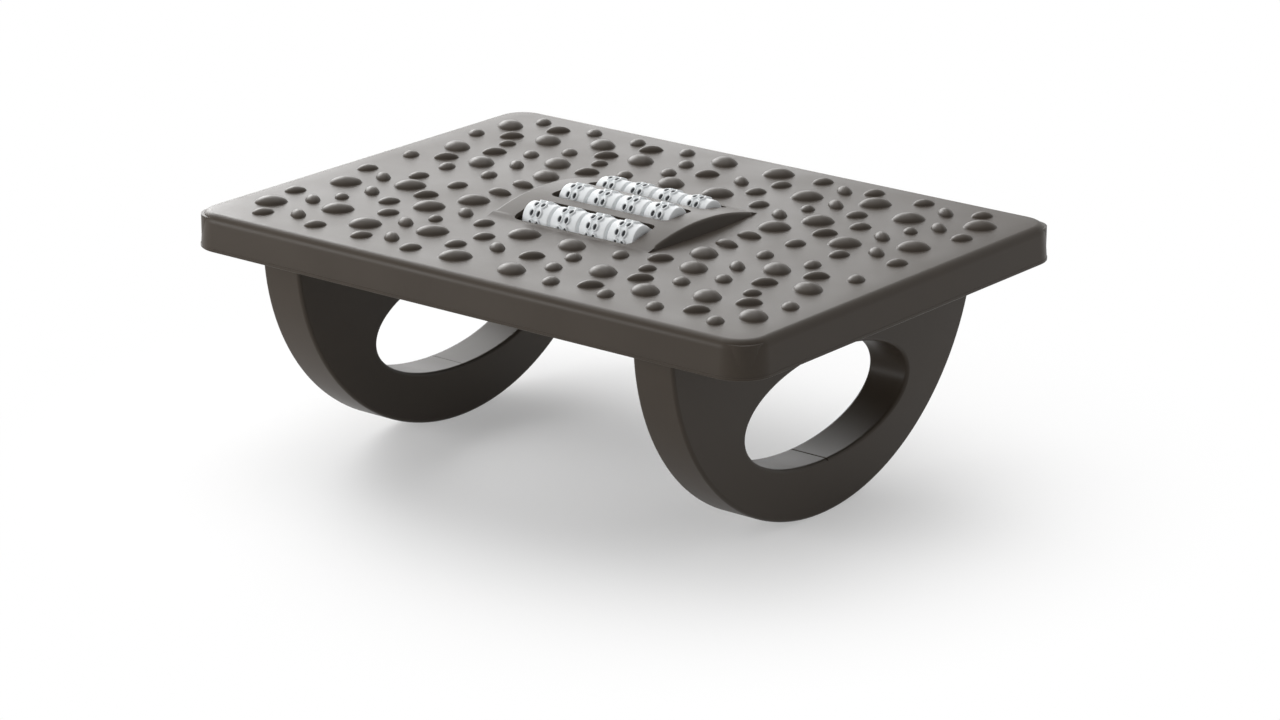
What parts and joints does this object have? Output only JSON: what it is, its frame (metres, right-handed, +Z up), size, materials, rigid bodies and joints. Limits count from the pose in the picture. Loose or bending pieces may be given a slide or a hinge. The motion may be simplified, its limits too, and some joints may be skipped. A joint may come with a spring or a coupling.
{
  "type": "rocking footrest with massage rollers",
  "caption": "Low rocking footrest with a pebbled rectangular deck, rows of spinning massage rollers in a central hump and elliptical rockers with oval holes.",
  "frame": {"origin": "on the floor, under the middle of the deck", "axes": "+Z up, +X along the deck's long side towards the right end, +Y towards the far long side"},
  "size_m": [0.45, 0.334, 0.1787],
  "materials": {
    "deck_plastic": "matte, fine grain",
    "rocker_plastic": "satin",
    "retainer_plastic": "satin",
    "roller_plastic": "satin",
    "axle_steel": "drawn",
    "screw_steel": "zinc plated"
  },
  "bodies": {
    "frame": {"deck": "deck_plastic", "left_rocker": "rocker_plastic", "right_rocker": "rocker_plastic", "rocker_screws": "screw_steel", "left_axle_retainer": "retainer_plastic", "right_axle_retainer": "retainer_plastic", "retainer_screws": "screw_steel"},
    "front_row": {"front_axle": "axle_steel", "front_roller_1": "roller_plastic", "front_roller_2": "roller_plastic", "front_roller_3": "roller_plastic", "front_roller_4": "roller_plastic"},
    "middle_row": {"middle_axle": "axle_steel", "middle_roller_1": "roller_plastic", "middle_roller_2": "roller_plastic", "middle_roller_3": "roller_plastic", "middle_roller_4": "roller_plastic"},
    "back_row": {"back_axle": "axle_steel", "back_roller_1": "roller_plastic", "back_roller_2": "roller_plastic", "back_roller_3": "roller_plastic", "back_roller_4": "roller_plastic"}
  },
  "joints": [
    {"name": "front_row_spin", "type": "hinge", "parent": "frame", "child": "front_row", "pos_m": [0, -0.03633, 0.16338], "axis": [1, 0, 0], "continuous": true},
    {"name": "middle_row_spin", "type": "hinge", "parent": "frame", "child": "middle_row", "pos_m": [0, 0, 0.1669], "axis": [1, 0, 0], "continuous": true},
    {"name": "back_row_spin", "type": "hinge", "parent": "frame", "child": "back_row", "pos_m": [0, 0.03633, 0.16338], "axis": [1, 0, 0], "continuous": true}
  ]
}
